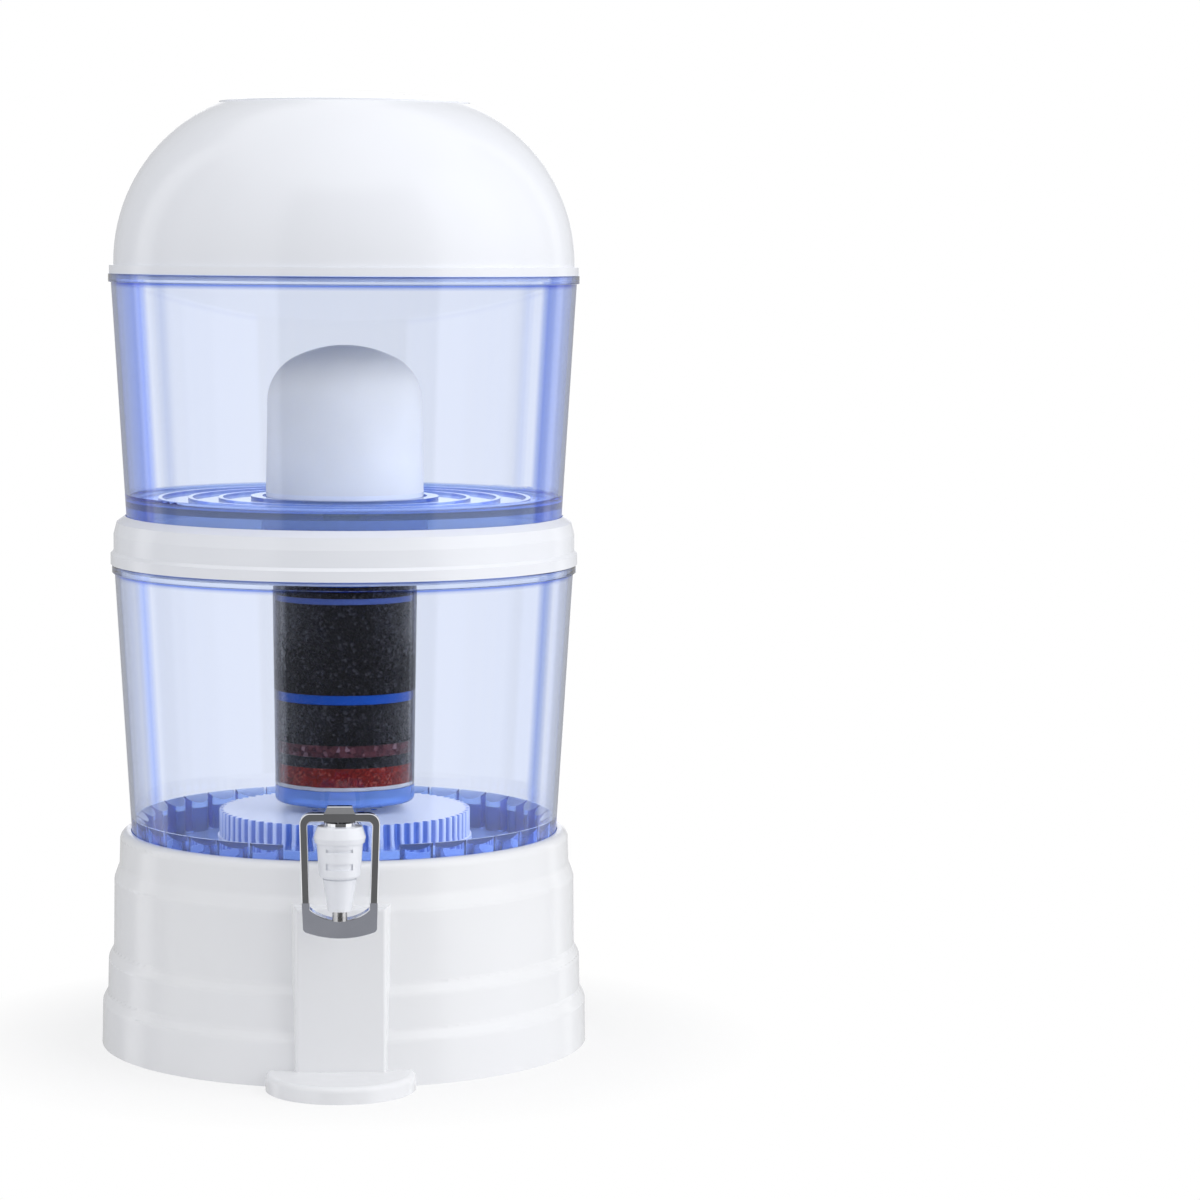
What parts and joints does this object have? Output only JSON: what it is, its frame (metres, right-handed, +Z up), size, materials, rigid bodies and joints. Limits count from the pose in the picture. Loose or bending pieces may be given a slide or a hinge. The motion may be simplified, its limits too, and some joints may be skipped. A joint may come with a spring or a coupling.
{
  "type": "gravity water filter",
  "caption": "Tiered gravity water filter: clear tapered tanks over a stepped stand, with ceramic dome, layered cartridge, stone case and push-lever tap.",
  "frame": {"origin": "on the table, under the axis of the tanks, at the middle of the stand's lower face", "axes": "+Z up along the tanks' axis, tap and foot towards -Y, +X to the right seen from the tap"},
  "size_m": [0.275, 0.3195, 0.5352],
  "materials": {
    "white_plastic": "smooth moulded gloss",
    "tank_plastic": "clear, tinted blue",
    "ceramic": "fine matt",
    "case_plastic": "frosted, pale blue",
    "clear_plastic": "clear",
    "outlet_plastic": "translucent blue",
    "cap_plastic": "dark moulded",
    "nut_plastic": "moulded",
    "seal_rubber": "soft silicone",
    "carbon": "black granules",
    "blue_pad": "blue filter pad",
    "pale_pad": "pale blue filter pad",
    "white_pad": "white filter pad",
    "red_mineral": "brick red beads",
    "brown_mineral": "brown beads",
    "mineral_stone": "tumbled",
    "chrome": "polished",
    "steel": "drawn wire"
  },
  "bodies": {
    "stand": {"base": "white_plastic", "base_deck": "white_plastic"},
    "lower_tank": {"lower_tank": "tank_plastic", "tap_body": "white_plastic", "tap_bonnet": "white_plastic", "tap_nozzle": "white_plastic", "tap_outer_washer": "seal_rubber", "tap_inner_washer": "seal_rubber", "tap_nut": "nut_plastic", "bonnet_ring": "chrome", "valve_spring": "steel"},
    "stone_case": {"stone_case": "case_plastic", "mineral_stones": "mineral_stone"},
    "stone_case_lid": {"stone_case_lid": "case_plastic"},
    "valve": {"valve_stem": "steel", "valve_plug": "seal_rubber"},
    "lever": {"lever_frame": "chrome", "lever_pad": "chrome", "lever_pin": "steel"},
    "ring": {"middle_ring": "white_plastic"},
    "upper_tank": {"upper_tank": "tank_plastic", "ceramic_dome": "ceramic", "ceramic_base": "white_plastic", "ceramic_gasket": "seal_rubber", "floor_washer": "seal_rubber", "ceramic_nut": "nut_plastic"},
    "cartridge": {"cartridge_cap": "cap_plastic", "cap_seal": "seal_rubber", "cartridge_shell": "clear_plastic", "cartridge_foot": "outlet_plastic", "outlet_pad": "white_pad", "mineral_bed": "red_mineral", "fine_carbon_bed": "carbon", "ball_bed": "brown_mineral", "zeolite_bed": "carbon", "divider_disc": "blue_pad", "carbon_bed": "carbon", "upper_pad": "pale_pad", "silica_bed": "carbon", "inlet_screen": "pale_pad", "inlet_sponge": "carbon"},
    "lid": {"lid": "white_plastic"}
  },
  "joints": [
    {"name": "lower_tank_lift", "type": "slide", "parent": "stand", "child": "lower_tank", "axis": [0, 0, 1], "range_m": [0, 0.14]},
    {"name": "stone_case_lift", "type": "slide", "parent": "lower_tank", "child": "stone_case", "axis": [0, 0, 1], "range_m": [0, 0.004]},
    {"name": "stone_lid_turn", "type": "hinge", "parent": "stone_case", "child": "stone_case_lid", "pos_m": [0, 0, 0.12], "axis": [0, 0, 1], "range_deg": [0, 90]},
    {"name": "stem_lift", "type": "slide", "parent": "lower_tank", "child": "valve", "axis": [0, 0, 1], "range_m": [0, 0.00115], "stiffness_N_per_m": 2500, "springref_m": -0.004, "deforming": ["valve_spring"]},
    {"name": "lever_tilt", "type": "hinge", "parent": "valve", "child": "lever", "pos_m": [0, -0.16837, 0.15271], "axis": [1, 0, 0], "range_deg": [0, 12]},
    {"name": "ring_lift", "type": "slide", "parent": "lower_tank", "child": "ring", "axis": [0, 0, 1], "range_m": [0, 0.16]},
    {"name": "upper_tank_lift", "type": "slide", "parent": "ring", "child": "upper_tank", "axis": [0, 0, 1], "range_m": [0, 0.18]},
    {"name": "cartridge_turn", "type": "hinge", "parent": "upper_tank", "child": "cartridge", "pos_m": [0, 0, 0.29], "axis": [0, 0, -1], "range_deg": [0, 720]},
    {"name": "lid_lift", "type": "slide", "parent": "upper_tank", "child": "lid", "axis": [0, 0, 1], "range_m": [0, 0.12]}
  ],
  "couplings": [
    {"joint": "lever_tilt", "follows": "stem_lift", "rad_per_m": 181.82}
  ]
}
